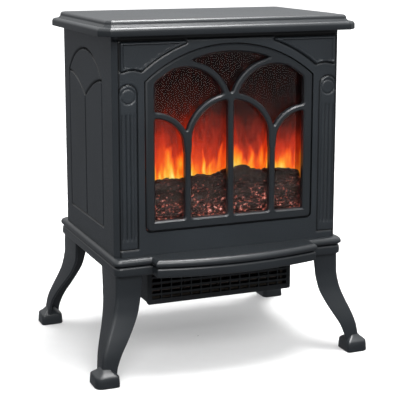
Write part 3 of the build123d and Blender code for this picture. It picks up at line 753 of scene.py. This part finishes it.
class StoveFront(bpy.types.Operator):
    """Cast-look front with its arched opening, beads, pilasters and rosettes"""

    bl_idname = "stove.front"
    bl_label = "Cast front"

    def execute(self, context):
        lean = Vector((BODY_X - FASCIA_X, BODY_FRONT - FASCIA_Y))
        reach = lean.length
        lean.normalize()

        def place(u, z, h):
            beyond = np.clip(np.abs(u) - FASCIA_X, 0, None)
            x = np.sign(u) * (np.minimum(np.abs(u), FASCIA_X) + beyond * lean.x)
            turned = beyond > 0
            side = np.where(turned, np.sign(u) * h * lean.y, 0)
            out = np.where(turned, h * lean.x, h)
            return np.stack([x + side, FASCIA_Y + beyond * lean.y - out, z], -1)

        plate = relief_sheet((-FASCIA_X - reach, FASCIA_X + reach), (BODY_Z + 0.2, SLAB_Z - 0.2),
                             front_relief, place, FRONT_WALL, window_loop(WINDOW_GAP))
        # flat ring behind the gap round the window frame, which hides the firebox there; the
        # painted shade turns it black, a painted shadow in the gap
        near, far = SHIELD_Y
        section = ((0.3, near), (0.3, far), (SHIELD_REACH, far), (SHIELD_REACH, near), (0.3, near))
        shield = [[(x, y, z) for x, z in window_loop(grow)] for grow, y in section]
        front = new_piece("cast_front", [plate, skin(shield, caps=False)], casing_paint(),
                          ("front_fascia",))
        # painted shade in the sunk grooves of the front; the groove under the slab and the ring
        # behind the window gap turn black, a painted shadow
        store_value(front, "painted_recess_shade",
                    lambda x, y, z: painted_shade_by_depth((y - FASCIA_Y) * (np.abs(x) < FASCIA_X)))
        return {"FINISHED"}


# ---------------- window
def soft_min(a, b, blend=4.5):
    """Smaller of two distances with a rounded transition."""
    h = max(0.0, 1 - abs(a - b) / blend)
    return min(a, b) - h * h * blend * 0.25


def arch_gap(x, z, centre_x, centre_z, outer):
    """Distance to a half-round tracery bar."""
    middle = outer - BAR / 2
    if z >= centre_z:
        return abs(math.hypot(x - centre_x, z - centre_z) - middle) - BAR / 2
    return math.hypot(abs(x - centre_x) - middle, z - centre_z) - BAR / 2


def clearance(x, z):
    """Distance from an open point of the window to the nearest metal, for x on the right."""
    near = min(OPEN_X - x, z - OPEN_Z)
    near = soft_min(near, ARCH_INNER - math.hypot(x, z - ARCH_Z))
    mid_top = MID_ARCH[1] + MID_ARCH[2]
    for bar_x, top in ((0, mid_top - BAR / 2), (MULLION_X, SIDE_ARCH[1] + 19)):
        near = soft_min(near, math.hypot(x - bar_x, max(0.0, z - top)) - MULLION / 2)
    for arch in (MID_ARCH, SIDE_ARCH):
        near = soft_min(near, arch_gap(x, z, *arch))
    if z > mid_top - BAR and x < FAN_ARCH[0] + 17:
        near = soft_min(near, arch_gap(x, z, *FAN_ARCH))
    return near


def light_outline(seed, rays=300):
    """Outline of one light of the window, seen from a seed point inside it."""
    outline = []
    for k in range(rays):
        angle = 2 * math.pi * k / rays
        dx, dz = math.cos(angle), math.sin(angle)
        reach = 0.0
        for _ in range(60):
            gap = clearance(abs(seed[0] + dx * reach), seed[1] + dz * reach)
            if gap < 0.01:
                break
            reach += gap * 0.7
        outline.append((seed[0] + dx * reach, seed[1] + dz * reach))
    return outline


# a point, as x and z, inside each light of the right half and inside the fan at the centre
LIGHT_SEEDS = ((95, 285), (34, 300), (72, 408))
FAN_SEED = (0, 446)


class StoveWindow(bpy.types.Operator):
    """Window frame with its tracery bars, and the pane behind it"""

    bl_idname = "stove.window"
    bl_label = "Window"

    def execute(self, context):
        loops = [window_loop()]
        loops += [light_outline((s * x, z)) for s in (-1, 1) for x, z in LIGHT_SEEDS]
        loops.append(light_outline(FAN_SEED))
        curve = bpy.data.curves.new("tracery", "CURVE")
        curve.dimensions = "2D"
        curve.fill_mode = "BOTH"
        rounding = sizes().bar_round
        curve.extrude = FRAME_DEPTH * MM / 2 - rounding
        curve.bevel_depth = rounding
        curve.bevel_resolution = 0
        curve.offset = -rounding
        for loop in loops:
            spline = curve.splines.new("POLY")
            spline.points.add(len(loop) - 1)
            spline.use_cyclic_u = True
            for point, (x, z) in zip(spline.points, loop):
                point.co = (x * MM, z * MM, 0, 1)
        holder = add_object("tracery_curve", curve)
        graph = bpy.context.evaluated_depsgraph_get()
        mesh = bpy.data.meshes.new_from_object(holder.evaluated_get(graph))
        centre_y = WINDOW_Y + FRAME_DEPTH / 2
        verts = [(v.co.x / MM, centre_y - v.co.z / MM, v.co.y / MM) for v in mesh.vertices]
        faces = [tuple(p.vertices) for p in mesh.polygons]
        bpy.data.objects.remove(holder)
        lugs = [block(*sorted((s * 129.5, s * 146)), -121, -118.8, z - 5, z + 5, 0.6)
                for s in (-1, 1) for z in (300, 360)]
        new_piece("window_tracery", [(verts, faces)] + lugs, moulded_charcoal(),
                  ("window_frame",), sharp=40)
        finish_node(clear_glass(), "window_glass")
        return {"FINISHED"}


# ---------------- base and legs
def base_loop():
    """Plan of the base: corner blocks and the bowed apron, counter-clockwise."""
    rise = BOW_END - BOW_FRONT
    radius = circle_through(-BOW_X, BOW_X, rise)
    half = math.degrees(math.asin(BOW_X / radius))
    bow = arc(0, BOW_FRONT + radius, radius, -90 - half, -90 + half, 40)
    return [(-BASE_X, BASE_FRONT), (-BOW_X, BASE_FRONT)] + bow + [
        (BOW_X, BASE_FRONT), (BASE_X, BASE_FRONT), (BASE_X, BASE_BACK), (-BASE_X, BASE_BACK)]


class StoveBase(bpy.types.Operator):
    """Base moulding with two rounded bands and a bowed apron"""

    bl_idname = "stove.base"
    bl_label = "Base moulding"

    def execute(self, context):
        # (inset, height) from inside the rim, round the lower and then the upper band
        profile = [(7.9, 172), (7.5, 171.4), (7, BASE_Z + 1), (6.4, BASE_Z), (4.8, BASE_Z)]
        profile += arc(4.6, 156.8, 2.6, 270, 180, 4)
        profile += arc(6.2, 164.4, 4.2, 180, 100, 6)
        profile += [(5.2, 169.0), (4.0, 169.7)]
        profile += arc(3.6, 173.4, 3.6, 262, 180, 5)
        profile += arc(7.0, 173.6, 7.0, 180, 90, 8)
        profile.append((7.9, BODY_Z))
        plan = base_loop()
        # the apron's corners are crisp, the base's own corners wide
        corners = [1.6] * len(plan)
        corners[0] = corners[-3] = 12.0
        corners[-1] = corners[-2] = 10.0
        parts = [moulding(plan, profile, corners, 5)]
        # pads above the legs
        for side in (-1, 1):
            for y0, y1 in ((BASE_FRONT + 8, BASE_FRONT + 74), (BASE_BACK - 74, BASE_BACK - 8)):
                parts.append(block(*sorted((side * 137, side * 176.8)), y0, y1, BASE_Z + 0.1, 173))
        new_piece("base_moulding", parts, moulded_charcoal(), ("base_frame",))
        return {"FINISHED"}


WALL = 4.0
# height, outward offset and the widths of the two walls, from the base down
LEG_SECTIONS = ((154.0, 0.0, 40.5, 71.0), (122.0, 0.3, 37.5, 68.0), (98.0, 5.0, 37.0, 55.0),
                (79.0, 12.5, 35.5, 44.0), (61.0, 20.5, 33.0, 36.0), (43.0, 27.0, 28.0, 30.0),
                (22.0, 30.0, 23.0, 26.0))
SPLAY = 0.7
# the hoof's outer corner and its widths, then its (inset, height) profile
HOOF_TIP = (41.5, 31.5)
HOOF = (36.0, 38.0)
HOOF_PROFILE = ((0.8, 0), (0, 0.8), (0, 2.6), (0.3, 9), (0.8, 15), (1.5, 16.4), (2.6, 17.4),
                (5.4, 19.6), (8.4, 22.2), (10.6, 24.6), (12, 26))


def leg_section(z):
    """Outward offset and the widths of the two walls at a height, smoothly interpolated."""
    heights = [row[0] for row in LEG_SECTIONS][::-1]
    values = []
    for column in (1, 2, 3):
        knots = [row[column] for row in LEG_SECTIONS][::-1]
        window = np.linspace(z - 7, z + 7, 9)
        values.append(float(np.mean(np.interp(window, heights, knots))))
    return values


class StoveLegs(bpy.types.Operator):
    """Four hollow cabriole legs with hoof feet"""

    bl_idname = "stove.legs"
    bl_label = "Legs"

    def execute(self, context):
        finish = moulded_charcoal()
        for end, row in ((-1, "front"), (1, "back")):
            for side, column in ((-1, "left"), (1, "right")):
                parts = self.leg(side, end)
                name = f"leg_{row}_{column}"
                new_piece(f"{row}_{column}_leg", parts, finish, (name,), sharp=50)
        return {"FINISHED"}

    def leg(self, side, end):
        """Shell, hoof and top flange of one leg."""
        def corner(a, b):
            return side * (LEG_X + a), LEG_MID + end * (LEG_Y + b)

        rings = []
        for z in np.linspace(BASE_Z, 16, 70):
            out, wide, deep = leg_section(z)
            oy = out * SPLAY
            loop = [(out - wide, oy - WALL), (out - wide, oy), (out, oy), (out, oy - deep),
                    (out - WALL, oy - deep), (out - WALL, oy - WALL)]
            ring = round_loop(loop, [1.2, 1.8, 5.5, 1.8, 1.2, 2], 5)
            rings.append([(*corner(a, b), z) for a, b in ring])
        tx, ty = HOOF_TIP
        hx, hy = HOOF
        plan = [(tx - hx, ty - hy), (tx, ty - hy), (tx, ty), (tx - hx, ty)]
        hoof = []
        for inset, z in HOOF_PROFILE:
            loop = round_loop(inset_loop(plan, inset), [9, 4.5, 12, 4.5], 7)
            hoof.append([(*corner(a, b), z) for a, b in loop])
        xs = sorted((side * (LEG_X - 30), side * (LEG_X - 2.5)))
        ys = sorted((LEG_MID + end * (LEG_Y - 2.5), LEG_MID + end * (LEG_Y - 40)))
        return [skin(rings), skin(hoof), block(*xs, *ys, BASE_Z - 4, BASE_Z, 0.6)]


# ---------------- heater, back and inner works
class StoveHeater(bpy.types.Operator):
    """Finishes of the fan heater under the base"""

    bl_idname = "stove.heater"
    bl_label = "Fan heater"

    def execute(self, context):
        finish_node(dark_plastic(), "outlet_grille", "blower_bearing")
        soften_node("outlet_grille", 0.5)
        plain_finish("painted_sheet", "heater_housing")
        plain_finish("zinc_plate", "base_tray", "blower_motor", "heater_screws", "leg_screws")
        plain_finish("mica_sheet", "element_frame", "thermal_cutout")
        plain_finish("element_wire", "heating_element")
        plain_finish("mill_aluminium", "blower_wheel")
        plain_finish("ground_steel", "blower_shaft", "flame_spindle")
        return {"FINISHED"}


class StoveBack(bpy.types.Operator):
    """Finishes of the back panel, its controls and the cable gland"""

    bl_idname = "stove.back"
    bl_label = "Back and controls"

    def execute(self, context):
        finish_node(casing_paint(), "back_panel")
        finish_node(dark_plastic(), "control_panel", "switch_housings", "cable_gland")
        soften_node("cable_gland", 0.6)
        plain_finish("blackened_steel", "back_panel_screws")
        plain_finish("switch_gloss", "rocker_flame", "rocker_low_heat", "rocker_high_heat")
        plain_finish("circuit_board", "control_board", "led_board")
        return {"FINISHED"}


class StoveFirebox(bpy.types.Operator):
    """Finishes of the firebox walls and the flame mechanism"""

    bl_idname = "stove.firebox"
    bl_label = "Firebox"

    def execute(self, context):
        plain_finish("firebox_black", "firebox_floor", "firebox_back", "firebox_top")
        plain_finish("polished_liner", "firebox_liner_left", "firebox_liner_right")
        plain_finish("zinc_plate", "glass_clips", "frame_screws", "spindle_motor")
        finish_node(dark_plastic(), "spindle_bearing")
        plain_finish("bright_foil", "spindle_reflectors")
        return {"FINISHED"}


# ---------------- logs, embers and flames
# ember bed: front, back, half width, underside, height of its front edge and rise to the back
BED_FRONT = -109.0
BED_BACK = -62.0
BED_X = 137.0
BED_UNDER = 212.0
BED_Z = 224.0
BED_RISE = 34.0
# start, end and radius of each log
LOGS = (
    ((-136, -84, 266), (-74, -78, 270), 12), ((-92, -82, 264), (-12, -76, 272), 13),
    ((-30, -78, 268), (30, -76, 274), 12), ((6, -80, 274), (54, -76, 282), 14),
    ((40, -78, 278), (96, -80, 266), 12), ((72, -76, 274), (136.5, -80, 268), 12),
    ((-135, -94, 249), (-40, -92, 253), 12), ((-62, -98, 243), (14, -90, 258), 11),
    ((-6, -94, 256), (66, -92, 252), 13), ((52, -96, 250), (136, -92, 249), 12),
    ((-110, -102, 236), (-30, -101, 238), 8), ((4, -102, 238), (84, -101, 236), 9),
)


def log_skin(start, end, radius, seed):
    """A knotty log with ridged bark and rough ends."""
    start, end = Vector(start), Vector(end)
    along = (end - start).normalized()
    side = along.cross(Vector((0, 0, 1))).normalized()
    up = side.cross(along)
    rings = []
    stations, around = 44, 30
    for s in range(stations + 1):
        t = s / stations
        swell = math.sqrt(max(0.0, 1 - (2 * t - 1) ** 10)) * 0.96 + 0.04
        centre = start.lerp(end, t)
        centre += up * 2.2 * noise.noise(Vector((t * 2.5, seed, 0)))
        ring = []
        for k in range(around):
            angle = 2 * math.pi * k / around
            bark = noise.fractal(Vector((t * 6, angle * 3.1 + seed, seed)), 0.9, 2.0, 4)
            across, over = math.cos(angle), math.sin(angle)
            ridge = abs(noise.noise(Vector((t * 3.0, across * 5, over * 5 + seed))))
            rough = radius * swell * (1 + 0.15 * bark - 0.30 * ridge)
            ring.append(tuple(centre + (side * across + up * over) * rough))
        rings.append(ring)
    return skin(rings)


def ember_bed():
    """Uneven bed of crushed embers under the logs."""
    xs = np.linspace(-BED_X, BED_X, 125)
    ys = np.linspace(BED_FRONT, BED_BACK, 26)
    top = np.zeros((len(ys), len(xs), 3))
    for i, y in enumerate(ys):
        for j, x in enumerate(xs):
            t = (y - BED_FRONT) / (BED_BACK - BED_FRONT)
            rough = noise.fractal(Vector((x * 0.06, y * 0.06, 3.1)), 0.8, 2.1, 5)
            rise = BED_RISE * math.sin(min(1, t * 1.25) * math.pi / 2)
            top[i, j] = (x, y, BED_Z + rise + 3.2 * rough)
    bottom = top.copy()
    bottom[:, :, 2] = BED_UNDER
    return grid_solid(top, bottom, np.ones((len(ys) - 1, len(xs) - 1), bool))


def ember_piece(rng):
    """One broken lump: a flattened ball with a cracked surface."""
    x = rng.uniform(-BED_X + 6, BED_X - 6)
    t = rng.random() ** 1.15
    y = BED_FRONT + 3 + t * 33
    z = 227 + 43 * math.sin(min(1, (y - BED_FRONT) / 36) * math.pi / 2) + rng.uniform(-1, 7)
    radius = rng.uniform(1.9, 4.2)
    stretch = (rng.uniform(1.2, 3.4), rng.uniform(0.7, 1.0), rng.uniform(0.5, 0.9))
    tilt = rng.uniform(-0.2, 0.75)
    rings = []
    for polar in np.linspace(0.18, math.pi - 0.18, 7):
        ring = []
        for k in range(10):
            angle = 2 * math.pi * k / 10
            way = Vector((math.cos(polar), math.sin(polar) * math.cos(angle),
                          math.sin(polar) * math.sin(angle)))
            size = radius * (1 + 0.38 * noise.noise(way * 2 + Vector((x, y, z))))
            px, py, pz = (way[a] * size * stretch[a] for a in range(3))
            ring.append((x + px * math.cos(tilt) - pz * math.sin(tilt), y + py,
                         z + px * math.sin(tilt) + pz * math.cos(tilt)))
        rings.append(ring)
    return skin(rings)


class StoveLogs(bpy.types.Operator):
    """Log set on its bed of embers"""

    bl_idname = "stove.logs"
    bl_label = "Logs and embers"

    def execute(self, context):
        rng = np.random.default_rng(7)
        parts = [ember_bed()]
        parts += [log_skin(*log, 3.7 * n + 1.3) for n, log in enumerate(LOGS)]
        parts += [ember_piece(rng) for _ in range(sizes().ember_count)]
        bed = new_piece("log_set", parts, bark_material(), ("log_bed",), sharp=60)
        # painted glow, stronger towards the bottom of the log set
        store_value(bed, "painted_underglow", lambda x, y, z: (296 - z) / 60)
        return {"FINISHED"}


SCREEN_CELLS = 250
FLAME_Z = 270.0
FLAME_RISE = 190.0
# foot x, foot z, height, half width, lean and strength of each tongue of flame
TONGUES = (
    (-95, 268, 56, 11, -0.05, 0.86), (-84, 268, 46, 12, 0.10, 0.88), (-67, 272, 60, 12, -0.1, 1.0),
    (-58, 272, 66, 9, 0.12, 0.82), (-34, 276, 40, 11, -0.22, 1.02), (-36, 276, 54, 8, -0.10, 0.74),
    (-12, 268, 34, 22, 0.55, 0.84), (8, 274, 72, 11, 0.16, 0.80), (14, 274, 40, 14, 0.0, 0.82),
    (36, 284, 44, 13, 0.05, 1.00), (50, 286, 44, 10, -0.28, 0.84), (66, 280, 44, 10, -0.18, 0.94),
    (78, 276, 52, 12, 0.06, 0.80), (100, 280, 34, 10, -0.2, 0.98), (116, 274, 46, 12, 0.22, 0.98),
    (128, 272, 52, 13, 0.05, 0.80), (138, 272, 50, 12, 0.0, 0.72), (-122, 268, 50, 16, 0.0, 0.7),
)


def lattice_noise(x, z, seed):
    """Smooth noise between -1 and 1 over a grid of points, one feature per unit."""
    table = np.random.default_rng(seed).uniform(-1, 1, (64, 64))
    x, z = x + 100.0, z + 100.0
    i, j = np.floor(x).astype(int), np.floor(z).astype(int)
    s, t = x - i, z - j
    s, t = s * s * (3 - 2 * s), t * t * (3 - 2 * t)
    low = table[i % 64, j % 64] * (1 - s) + table[(i + 1) % 64, j % 64] * s
    high = table[i % 64, (j + 1) % 64] * (1 - s) + table[(i + 1) % 64, (j + 1) % 64] * s
    return low * (1 - t) + high * t


def flame_heat(x, z):
    """Heat of the flame picture over the screen."""
    rise = np.clip((z - FLAME_Z) / FLAME_RISE, 0, 1)
    bend = 5.5 * lattice_noise(x / 22, z / 34, 1) + 2.6 * lattice_noise(x / 9, z / 15, 2)
    wx = x + bend * (0.4 + 1.4 * rise)
    wz = z + 6 * lattice_noise(x / 12, z / 26, 3)
    side = np.clip((x + 40) / 180, 0, 1)
    reach = 84 - 24 * side
    heat = 0.43 * groove(np.clip(z - FLAME_Z - 20, 0, None), reach)
    heat += 0.05 * (1 - side) * (1 - rise)
    heat += 0.14 * lattice_noise(wx / 13, z / 46, 4) * (1 - rise) ** 2
    heat += 0.12 * np.exp(-np.clip(wz - 280, 0, None) / 10)
    body = np.zeros(x.shape)
    rng = np.random.default_rng(11)
    licks = [(rng.uniform(-136, 136), 276, rng.uniform(24, 64), rng.uniform(3.5, 7),
              rng.uniform(-0.25, 0.35), rng.uniform(0.66, 0.95)) for _ in range(34)]
    for foot_x, foot_z, height, half, lean, strength in list(TONGUES) + licks:
        t = (wz - foot_z) / height
        centre = foot_x + lean * (wz - foot_z)
        width = half * np.clip(1.15 - t, 0.02, 1.2) ** 0.8
        across = np.clip(1 - ((wx - centre) / width) ** 2, 0, 1)
        cool = np.where(t < 0, 1.0, np.clip(1 - t, 0, 1) ** 0.45)
        core = strength * (0.66 + 0.34 * across) * cool * np.clip(across * 3.2, 0, 1)
        body = np.maximum(body, core)
    streaks = 0.11 * lattice_noise(wx / 4.5, z / 20, 5)
    return np.maximum(heat, body * 0.97 + streaks * (body > 0.05))


class StoveFlames(bpy.types.Operator):
    """Flame picture on the screen behind the logs"""

    bl_idname = "stove.flames"
    bl_label = "Flames"

    def execute(self, context):
        low, high = (Vector(corner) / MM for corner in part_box("flame_screen"))
        x, z = np.meshgrid(np.linspace(low.x, high.x, SCREEN_CELLS + 1),
                           np.linspace(low.z, high.z, SCREEN_CELLS + 1))
        faces = [np.stack([x, np.full(x.shape, y), z], -1) for y in (low.y, high.y)]
        part = grid_solid(*faces, np.ones((SCREEN_CELLS, SCREEN_CELLS), bool))
        screen = new_piece("flame_picture", [part], flame_material(),
                           ("flame_screen",))
        store_value(screen, "fire_level", lambda x, y, z: flame_heat(x, z))
        return {"FINISHED"}


# ---------------- stage
# places and sizes on the stage are in metres, turns in degrees
FLOOR_Z = -0.0004
FLOOR_RADIUS = 9.0
WALL_RADIUS = 8.9
WALL_HEIGHT = 8.0
CAMERA_PLACE = (-0.6631, -1.6422, 0.6236)
CAMERA_PITCH = 79.31
CAMERA_TURN = -22.09
CAMERA_LENS = 103.14
CAMERA_SHIFT = -0.10


def area_light(name, place, target, size, power):
    """A soft rectangular light aimed at a point."""
    data = bpy.data.lights.new(name, "AREA")
    data.shape = "RECTANGLE"
    data.size, data.size_y = size
    data.energy = power
    light = add_object(name, data)
    light.location = place
    light.rotation_euler = (Vector(target) - Vector(place)).to_track_quat("-Z", "Y").to_euler()


class StoveStage(bpy.types.Operator):
    """Floor, backdrop, soft lights and camera"""

    bl_idname = "stove.stage"
    bl_label = "Stage"

    def execute(self, context):
        scene = context.scene
        self.revolve("studio_floor",
                     [(0.001, FLOOR_Z), (FLOOR_RADIUS / 2, FLOOR_Z), (FLOOR_RADIUS, FLOOR_Z)],
                     studio_paper())
        self.revolve("studio_wall", [(WALL_RADIUS, -0.1), (WALL_RADIUS, WALL_HEIGHT)],
                     studio_wall())
        area_light("front_soft", (-0.5, -2.3, 2.1), (0, 0, 0.4), (1.6, 1.0), 48)
        area_light("overhead", (0.32, -0.1, 2.4), (0, 0, 0.3), (1.4, 0.85), 78)

        world = bpy.data.worlds.new("studio_air")
        world.use_nodes = True
        nodes, links = world.node_tree.nodes, world.node_tree.links
        coords = nodes.new("ShaderNodeTexCoord")
        split = nodes.new("ShaderNodeSeparateXYZ")
        links.new(coords.outputs["Generated"], split.inputs["Vector"])
        sky = ramp(nodes, links, split.outputs["Z"],
                   ((0.0, (0.19, 0.197, 0.21)), (0.08, (0.24, 0.247, 0.26)),
                    (0.25, (0.5, 0.51, 0.52)), (0.55, (1, 1, 1))))
        links.new(sky, nodes["Background"].inputs["Color"])
        set_inputs(nodes["Background"], {"Strength": 1.0})
        scene.world = world
        scene.view_settings.view_transform = "Standard"

        lens = bpy.data.cameras.new("camera")
        lens.lens = CAMERA_LENS
        lens.shift_y = CAMERA_SHIFT
        camera = add_object("camera", lens)
        camera.location = CAMERA_PLACE
        camera.rotation_euler = (math.radians(CAMERA_PITCH), 0, math.radians(CAMERA_TURN))
        scene.camera = camera
        return {"FINISHED"}

    def revolve(self, name, profile, material, steps=96):
        """A round part of the stage from (radius, height) points, unseen in reflections."""
        turns = [2 * math.pi * k / steps for k in range(steps)]
        rings = [[(r * math.cos(a), r * math.sin(a), z) for a in turns] for r, z in profile]
        verts, faces = skin(rings, caps=False)
        data = bpy.data.meshes.new(name)
        data.from_pydata(verts, [], faces)
        data.shade_smooth()
        data.materials.append(material)
        part = add_object(name, data)
        part.visible_glossy = part.visible_diffuse = False


# ---------------- add-on
OPERATORS = (StoveSlab, StoveSides, StoveFront, StoveWindow, StoveBase, StoveLegs, StoveHeater,
             StoveBack, StoveFirebox, StoveLogs, StoveFlames, StoveStage)


class StovePanel(bpy.types.Panel):
    """Sidebar panel with the stove's sizes, colours and pieces"""

    bl_idname = "VIEW3D_PT_stove"
    bl_label = "Electric stove"
    bl_space_type = "VIEW_3D"
    bl_region_type = "UI"
    bl_category = "Stove"

    def draw(self, context):
        for group in (context.scene.stove_sizes, context.scene.stove_colours):
            for name in group.bl_rna.properties.keys():
                if name not in ("rna_type", "name"):
                    self.layout.prop(group, name)
        for operator in OPERATORS:
            self.layout.operator(operator.bl_idname)


CLASSES = (StoveSizes, StoveColours, *OPERATORS, StovePanel)


def register():
    """Registers the add-on's classes and settings."""
    for item in CLASSES:
        bpy.utils.register_class(item)
    bpy.types.Scene.stove_sizes = bpy.props.PointerProperty(type=StoveSizes)
    bpy.types.Scene.stove_colours = bpy.props.PointerProperty(type=StoveColours)


def unregister():
    """Removes the add-on's classes and settings."""
    del bpy.types.Scene.stove_colours
    del bpy.types.Scene.stove_sizes
    for item in reversed(CLASSES):
        bpy.utils.unregister_class(item)


def main():
    """Builds every piece in order."""
    register()
    for operator in OPERATORS:
        group, name = operator.bl_idname.split(".")
        getattr(getattr(bpy.ops, group), name)()


if __name__ == "__main__":
    main()
